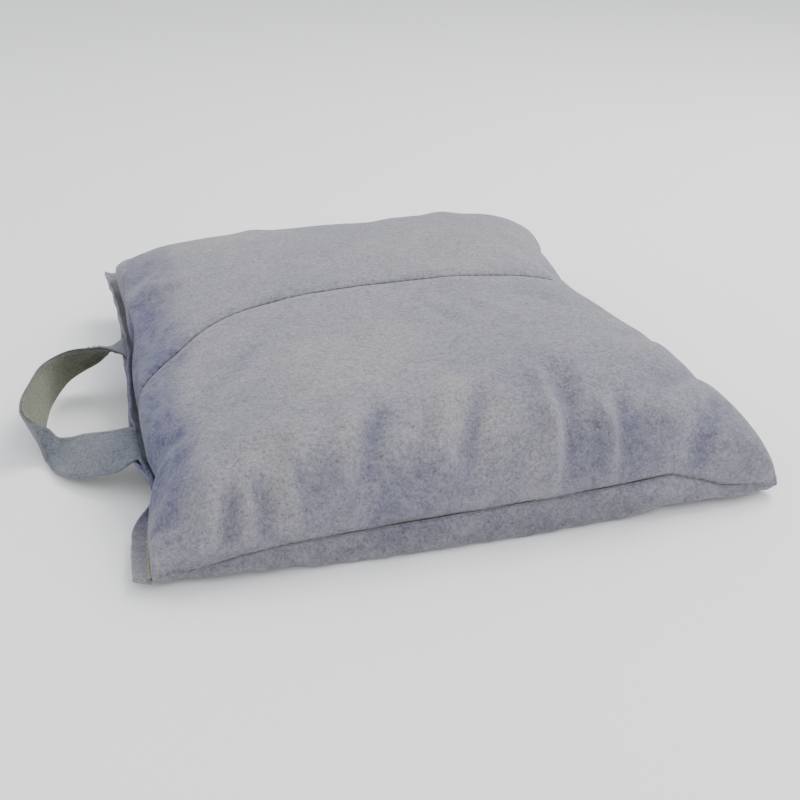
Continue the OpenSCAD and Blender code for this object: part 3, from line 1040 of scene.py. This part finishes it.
# painted shade: dark patches where shade falls, on the strap's legs, along the bottom front band and low on
# the right front
PAINTED_SHADE_SPOTS = (
    Spot((-0.212, 0.046, 0.030), (0.034, 0.030, 0.030), 0.80),
    Spot((-0.252, -0.030, 0.004), (0.014, 0.040, 0.012), 0.45),
    Spot((0.000, -0.206, 0.008), (0.220, 0.024, 0.018), 0.50),
    Spot((0.165, -0.130, 0.030), (0.040, 0.080, 0.025), 0.40),
)


def paint(piece: bpy.types.Object) -> None:
    """Store where a piece of leather is bluer, where it is worn beige, and where it carries painted shade and
    painted highlight.

    Args:
        piece: the leather piece, which receives a colour attribute.
    """
    mesh = piece.data
    layer = mesh.color_attributes.new(DYE_AND_PAINTED_LIGHT, "FLOAT_COLOR", "POINT")
    points = np.zeros(len(mesh.vertices) * 3)
    mesh.vertices.foreach_get("co", points)
    points = points.reshape(-1, 3)
    colours = np.zeros((len(points), 4))
    colours[:, 3] = 1.0
    # red channel: blue dye, green channel: beige wear, blue channel: painted shade
    for channel, spots in enumerate((BLUE_SPOTS, BEIGE_SPOTS, PAINTED_SHADE_SPOTS)):
        for spot in spots:
            colours[:, channel] = np.maximum(colours[:, channel], spot.strength(points))
    # fold grooves turn bluer and fold ridges beige: partly dye and wear, partly painted shade in the grooves
    # and painted highlight on the ridges
    for fold in FOLDS:
        channel, amount = (0, 0.55) if fold.height < 0.0 else (1, 0.50)
        share = fold.lift(points[:, :2]) / fold.height * smooth((points[:, 2] - 0.018) / 0.012)
        amount *= min(1.0, abs(fold.height) / (3.0 * MM))
        colours[:, channel] = np.maximum(colours[:, channel], amount * share)
    layer.data.foreach_set("color", colours.astype(np.float32).ravel())


# ---------------------------------------------------------------- thread


def stitch(start: np.ndarray, end: np.ndarray, up: np.ndarray, thick: float, bm: bmesh.types.BMesh) -> None:
    """Add one stitch to a bmesh: a small pulled-down oval of thread between two points."""
    start, end = Vector(start), Vector(end)
    way = end - start
    lift = Vector(up).normalized()
    side = way.cross(lift).normalized()
    lift = side.cross(way.normalized())
    size = Matrix.Diagonal((thick * 0.8, thick, way.length / 2.0, 1.0))
    turn = Matrix((lift, side, way.normalized())).transposed().to_4x4()
    place = Matrix.Translation((start + end) / 2.0)
    bmesh.ops.create_uvsphere(bm, u_segments=6, v_segments=6, radius=1.0, matrix=place @ turn @ size)


def stitch_run(line: np.ndarray, ups: np.ndarray, pitch: float, length: float, thick: float,
               bm: bmesh.types.BMesh) -> int:
    """Lay stitches at an even pitch along a line of points.

    Args:
        line: points that the thread follows.
        ups: the surface's normal at each point.
        pitch: distance between the starts of two stitches.
        length: length of one stitch.
        thick: half the thread's width.
        bm: receives the stitches.

    Returns:
        How many stitches were laid.
    """
    steps = np.linalg.norm(np.diff(line, axis=0), axis=1)
    at = np.concatenate([[0.0], np.cumsum(steps)])
    count = int(at[-1] / pitch)

    def read(values: np.ndarray, place: float) -> np.ndarray:
        """Read an array along the line."""
        return np.array([np.interp(place, at, values[:, k]) for k in range(3)])

    for k in range(count):
        place = k * pitch + (pitch - length) / 2.0
        stitch(read(line, place), read(line, place + length), read(ups, place), thick, bm)
    return count


@dataclass
class BagStitching:
    """The thread in the bag's seams and along its flange."""

    bag: LeatherBag
    pitch: float = 5.5 * MM
    length: float = 3.6 * MM
    thread: float = 0.42 * MM
    below: float = 0.9 * MM
    ends: int = 9
    heart: tuple = (0.0, 0.0, 0.045)
    closing_pitch: float = 4.6 * MM
    closing_thread: float = 0.65 * MM
    closing_out: float = 0.25 * MM

    def turned_seam(self, name: str, line: np.ndarray, ups: np.ndarray, node: str) -> bpy.types.Object:
        """The stitches of one turned seam, sunk in its groove."""
        bm = bmesh.new()
        stitch_run(line, ups, self.pitch, self.length, self.thread, bm)
        piece = new_object(name, mesh_from(bm, name))
        dress(piece, SEAM_THREAD, Body.BAG, [node])
        return piece

    def build(self) -> list:
        """Build the four seams and the closing stitch."""
        top, row = self.bag.top_points, self.bag.front_rows
        depth = self.bag.groove - self.below
        normals = LeatherBag.normals(top)[3:-1, row]
        made = [self.turned_seam("cross_seam_stitches", top[3:-1, row] - depth * normals, normals,
                                 "cross_seam_thread")]
        inner = slice(self.ends, -self.ends)
        for name, line, node in (("front_seam_stitches", top[inner, 0], "front_seam_thread"),
                                 ("rear_seam_stitches", top[inner, -1], "rear_seam_thread"),
                                 ("right_seam_stitches", top[-1, inner], "right_seam_thread")):
            way = np.array(self.heart) - line
            way[:, 2] = 0.0
            made.append(self.turned_seam(name, line + depth * unit(way), np.tile(UP, (len(line), 1)), node))
        made.append(self.closing())
        return made

    def closing(self) -> bpy.types.Object:
        """The yellow-green stitches on both faces of the flange."""
        bm = bmesh.new()
        share = self.bag.flange_columns - 1
        for sheet, sign in ((Sheet.TOP, 1.0), (Sheet.BOTTOM, -1.0)):
            layer = self.bag.flange(sheet)
            line = layer[share, 2:-2]
            normal = LeatherBag.normals(layer)[share, 2:-2]
            normal = np.where(normal[:, 2:3] * sign < 0.0, -normal, normal)
            stitch_run(line + normal * self.closing_out, normal, self.closing_pitch, self.length,
                       self.closing_thread, bm)
        piece = new_object("closing_stitches", mesh_from(bm, "closing_stitches"))
        dress(piece, CLOSING_THREAD, Body.BAG, ["closing_stitch"])
        return piece


# ---------------------------------------------------------------- liner and sand


@dataclass
class Filling:
    """The canvas liner and the sand in it, inside the settled leather."""

    bag: LeatherBag
    step: int = 2
    liner_in: float = 5.0 * MM
    sand_in: float = 6.6 * MM
    canvas: float = 0.7 * MM

    def sheet(self, sheet: Sheet, inset: float) -> np.ndarray:
        """One side of the filling: the skin's grid, smaller by the inset."""
        top, bottom = self.bag.top_points, self.bag.bottom_points
        points = (top if sheet is Sheet.TOP else bottom)[::self.step, ::self.step].copy()
        low, high = bottom.reshape(-1, 3).min(axis=0), top.reshape(-1, 3).max(axis=0)
        centre = (low + high) / 2.0
        half = (high - low) / 2.0
        share = (points - centre) / half
        points[..., :2] -= share[..., :2] * inset * 2.0
        points[1:-1, 1:-1, 2] += -inset if sheet is Sheet.TOP else inset
        return points

    def closed(self, name: str, inset: float, sheets: Sequence[Sheet]) -> bpy.types.Object:
        """A piece of the filling made of one side or of both, welded at the rim."""
        bm = gather((self.sheet(sheet, inset), sheet is Sheet.BOTTOM) for sheet in sheets)
        bmesh.ops.remove_doubles(bm, verts=bm.verts, dist=WELD)
        return new_object(name, mesh_from(bm, name))

    def build(self) -> list:
        """Build the liner's two sides and the sand."""
        made = []
        for name, sheet, node in (("liner_top_canvas", Sheet.TOP, "liner_top"),
                                  ("liner_bottom_canvas", Sheet.BOTTOM, "liner_bottom")):
            piece = self.closed(name, self.liner_in, [sheet])
            wall = piece.modifiers.new("canvas", "SOLIDIFY")
            wall.thickness = self.canvas
            wall.offset = -1.0
            dress(piece, LINER_CANVAS, Body.BAG, [node])
            made.append(piece)
        sand = self.closed("sand", self.sand_in, [Sheet.TOP, Sheet.BOTTOM])
        dress(sand, DRY_SAND, Body.BAG, ["sand_fill"])
        made.append(sand)
        return made


# ---------------------------------------------------------------- the carrying strap


# the carrying loop's edges at places along it, in millimetres after the share: out from the flange, to the
# rear of the loop's centre and up for the edge that stands highest, the same for the other, and the bow
LOOP = (
    (0.00, 0, -42, 27, 0, -84, 26, 0.0),
    (0.08, 13, -37, 25.5, 10, -79, 18, 0.5),
    (0.16, 27, -29, 21, 22, -71, 12, 0.5),
    (0.24, 39, -21, 16, 36, -61, 7, -0.5),
    (0.30, 47, -13, 12.5, 45, -51, 4.5, -3.0),
    (0.36, 52, -13, 20, 52, -38, 2.5, -4.0),
    (0.42, 60, -22, 31, 56, -22, 2, -2.0),
    (0.48, 66.5, -19, 37, 56.5, -10, 1.5, 0.0),
    (0.56, 66.5, -2, 38, 56.5, 6, 1.5, 1.0),
    (0.64, 62, 22, 38.5, 56, 32, 2, 1.0),
    (0.71, 54, 45, 39.5, 52, 54, 3, 1.0),
    (0.78, 42, 57, 41, 43, 73, 8, 2.0),
    (0.86, 26, 58, 42, 28, 75, 17, 3.0),
    (0.93, 13, 54, 43, 14, 76, 25, 3.0),
    (1.00, 0, 43, 40, 0, 83, 37, 0.0),
)


@dataclass
class CarryStrap:
    """The carrying loop: two layers of leather, sewn together and into the flange."""

    shape: BagShape
    steps: int = 150
    across: int = 10
    outer_t: float = 1.7 * MM
    inner_t: float = 1.3 * MM
    length: float = 190.0 * MM
    tuck: float = 0.05
    end_half: float = 1.7 * MM
    end_ease: float = 10.0 * MM
    stitch_in: float = 3.6 * MM
    stitch_pitch: float = 4.2 * MM
    stitch_length: float = 2.7 * MM
    thread: float = 0.30 * MM
    tack_in: float = 4.0 * MM
    tack_thread: float = 0.55 * MM
    tack_lift: float = 3.4 * MM

    def __post_init__(self) -> None:
        """Read the strap's places from the frame."""
        self.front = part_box("strap_front_end")
        self.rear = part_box("strap_rear_end")
        self.width = self.front[1][1] - self.front[0][1]
        self.front_y = (self.front[0][1] + self.front[1][1]) / 2.0
        self.rear_y = (self.rear[0][1] + self.rear[1][1]) / 2.0
        self.root_x = min(self.front[0][0], self.rear[0][0])

    @staticmethod
    def half_space(y: np.ndarray) -> np.ndarray:
        """Half the gap between the flange's layers, open where a strap end lies in it."""
        gap = np.zeros(np.shape(y))
        for node in ("strap_front_end", "strap_rear_end"):
            low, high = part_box(node)
            away = np.abs(np.asarray(y) - (low[1] + high[1]) / 2.0) - (high[1] - low[1]) / 2.0
            gap = np.maximum(gap, CarryStrap.end_half * (1.0 - smooth(away / CarryStrap.end_ease)))
        return gap

    def edges(self, q: np.ndarray) -> tuple:
        """The strap's two edge lines and how far its middle stands out between them.

        Args:
            q: places along the free loop from 0 at the front root to 1 at the rear one; past
                these it runs on into the flange.

        Returns:
            Arrays of upper edge positions, lower edge positions and bows.
        """
        c = np.clip(q, 0.0, 1.0)
        centre = (self.front_y + self.rear_y) / 2.0
        past = (np.maximum(-q, 0.0) + np.maximum(q - 1.0, 0.0)) * self.length
        lines = []
        for first in (1, 4):
            x = self.root_x - curve(LOOP, c, first) * MM
            y = centre + curve(LOOP, c, first + 1) * MM
            z = curve(LOOP, c, first + 2) * MM
            edge = self.shape.trace(self.shape.edge, y)
            near = 1.0 - smooth(np.minimum(c, 1.0 - c) / self.tuck)
            x, z = lerp(x, np.maximum(x, edge[:, 0]), near), lerp(z, edge[:, 2], near)
            way = unit(self.shape.trace(self.shape.line, y) - edge)
            lines.append(np.stack([x, y, z], -1) + way * past[:, None])
        return lines[0], lines[1], curve(LOOP, c, 7) * MM

    def middle(self, q: np.ndarray) -> tuple:
        """The strap's middle line, half its width as a vector, its outward face direction and its bow."""
        top, low, bow = self.edges(q)
        middle, across = (top + low) / 2.0, (top - low) / 2.0
        return middle, across, unit(np.cross(across, np.gradient(middle, axis=0))), bow

    def surface(self, out: float, narrower: float, round_by: float) -> np.ndarray:
        """A sheet along the strap, out from its middle surface, with its edges eased in.

        Args:
            out: distance from the middle surface, positive on the outer face.
            narrower: how far its edges stay inside the strap's.
            round_by: how far its edges bend back to the middle surface.

        Returns:
            Positions by place along the strap and place across it.
        """
        q = np.linspace(-self.tuck, 1.0 + self.tuck, self.steps + 1)
        middle, across, face, bow = self.middle(q)
        a = np.linspace(-1.0, 1.0, self.across + 1)
        share = a * (1.0 - narrower / (self.width / 2.0))
        ease = out - math.copysign(1.0, out) * round_by * np.abs(a) ** 8
        stand = bow[:, None] * (1.0 - share[None, :] ** 2) + ease[None, :]
        stand = stand + 0.0004 * np.sin(q * 47.0)[:, None] * share[None, :] ** 2
        return middle[:, None] + across[:, None] * share[None, :, None] + face[:, None] * stand[..., None]

    def layer(self, name: str, low: float, high: float, narrower: float) -> bpy.types.Object:
        """A closed strip of leather between two distances from the strap's middle surface."""
        outer = self.surface(high, narrower, 0.4 * MM if high > 0.0 else 0.0)
        inner = self.surface(low, narrower, 0.3 * MM if low < 0.0 else 0.0)
        bm = gather(((outer, False), (inner, True)))
        bmesh.ops.bridge_loops(bm, edges=[edge for edge in bm.edges if edge.is_boundary])
        bmesh.ops.recalc_face_normals(bm, faces=bm.faces)
        piece = new_object(name, mesh_from(bm, name))
        finish = piece.modifiers.new("soften", "SUBSURF")
        finish.levels = finish.render_levels = 1
        return piece

    def join(self, piece: bpy.types.Object) -> None:
        """Bake a piece's transform into its mesh."""
        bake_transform(piece)

    def build(self) -> list:
        """Build both layers, their stitching and the tacks in the flange."""
        outer = self.layer("strap_outer_leather", 0.0, self.outer_t, 0.0)
        inner = self.layer("strap_inner_leather", -self.inner_t, 0.0, 1.2 * MM)
        for piece in (outer, inner):
            paint(piece)
        dress(outer, STRAP_SUEDE, None,
              ["strap_outer_layer", "strap_front_end", "strap_rear_end"])
        dress(inner, STRAP_LINING, None, ["strap_inner_layer"])
        stitches = self.stitching()
        dress(stitches, STRAP_THREAD, None, ["strap_stitching"])
        for piece in (outer, inner, stitches):
            self.join(piece)
        tacks = self.tacks()
        dress(tacks, STRAP_THREAD, Body.BAG, ["strap_tacks"])
        return [outer, inner, stitches, tacks]

    def stitching(self) -> bpy.types.Object:
        """Two rows of small stitches on both faces of the loop."""
        bm = bmesh.new()
        q = np.linspace(0.03, 0.97, 90)
        middle, across, face, bow = self.middle(q)
        row = 1.0 - self.stitch_in / (self.width / 2.0)
        for side in (-row, row):
            for out in (self.outer_t, -self.inner_t):
                line = middle + across * side + face * (out + bow[:, None] * (1.0 - row * row))
                ups = face * math.copysign(1.0, out)
                stitch_run(line, ups, self.stitch_pitch, self.stitch_length, self.thread, bm)
        return new_object("strap_stitches", mesh_from(bm, "strap_stitches"))

    def tacks(self) -> bpy.types.Object:
        """Bar tacks across the flange at the strap's edges."""
        bm = bmesh.new()
        for y_mid in (self.front_y, self.rear_y):
            for edge in (-1.0, 1.0):
                y = np.array([y_mid + edge * (self.width / 2.0 - self.tack_in)])
                a, b = self.shape.trace(self.shape.line, y)[0], self.shape.trace(self.shape.edge, y)[0]
                up = unit(np.cross(np.array([0.0, 1.0, 0.0]), b - a))
                for face in (-up, up):
                    out = face * self.tack_lift
                    stitch(lerp(a, b, 0.45) + out, lerp(a, b, 0.86) + out, face, self.tack_thread, bm)
        return new_object("strap_bar_tacks", mesh_from(bm, "strap_bar_tacks"))


# ---------------------------------------------------------------- studio


@dataclass(frozen=True)
class Studio:
    """A pale floor, soft light and the camera."""

    camera_at: tuple = (-0.185, -0.702, 0.371)
    heading: float = 14.9
    pitch: float = 27.5
    lens: float = 49.7
    looks_at: tuple = (0.0, 0.0, 0.04)
    floor_tones: tuple = (0.93, 0.96)
    sky: tuple = (0.95, 0.97, 1.0)
    sky_strength: float = 1.05
    lamps: tuple = (("key", (0.9, 0.35, 1.5), 1.0, 24.0), ("fill", (0.4, -1.5, 1.3), 1.6, 15.0),
                    ("rim", (-1.3, 0.6, 0.9), 1.2, 3.0))

    def build(self) -> None:
        """Set up the floor, the lights, the world and the camera."""
        bm = bmesh.new()
        bmesh.ops.create_grid(bm, x_segments=1, y_segments=1, size=6.0)
        floor = new_object("floor", mesh_from(bm, "floor"))
        material, n, shader, coords = start_material("pale_floor")
        shade = n.noise(coords, 3.0, 2.0, 0.5)
        dull, bright = ((tone, tone, tone) for tone in self.floor_tones)
        n.link(n.mix(shade, dull, bright), shader.inputs["Base Color"])
        shader.inputs["Roughness"].default_value = 0.9
        floor.data.materials.append(material)
        world = bpy.data.worlds.new("studio")
        world.use_nodes = True
        sky = world.node_tree.nodes["Background"]
        sky.inputs["Color"].default_value = (*self.sky, 1.0)
        sky.inputs["Strength"].default_value = self.sky_strength
        bpy.context.scene.world = world
        for lamp in self.lamps:
            self.light(*lamp)
        lens = bpy.data.cameras.new("camera")
        lens.lens = self.lens
        lens.sensor_width = 36.0
        camera = bpy.data.objects.new("camera", lens)
        camera.location = self.camera_at
        camera.rotation_euler = (math.radians(90.0 - self.pitch), 0.0, math.radians(-self.heading))
        bpy.context.scene.collection.objects.link(camera)
        bpy.context.scene.camera = camera

    def light(self, name: str, place: tuple, size: float, power: float) -> None:
        """Add one square area light that faces the object."""
        lamp = bpy.data.lights.new(name, "AREA")
        lamp.size = size
        lamp.energy = power
        stand = bpy.data.objects.new(name, lamp)
        stand.location = place
        stand.rotation_euler = (Vector(self.looks_at) - Vector(place)).to_track_quat("-Z", "Y").to_euler()
        bpy.context.scene.collection.objects.link(stand)


def main() -> None:
    """Build every sub-assembly and log how many pieces there are."""
    logging.basicConfig(level=logging.INFO, format="%(name)s: %(message)s")
    Studio().build()
    shape = BagShape()
    bag = LeatherBag(shape)
    pieces = bag.build()
    pieces += BagStitching(bag).build()
    pieces += Filling(bag).build()
    pieces += CarryStrap(shape).build()
    log.info("%d pieces", len(pieces))


if __name__ == "__main__":
    main()
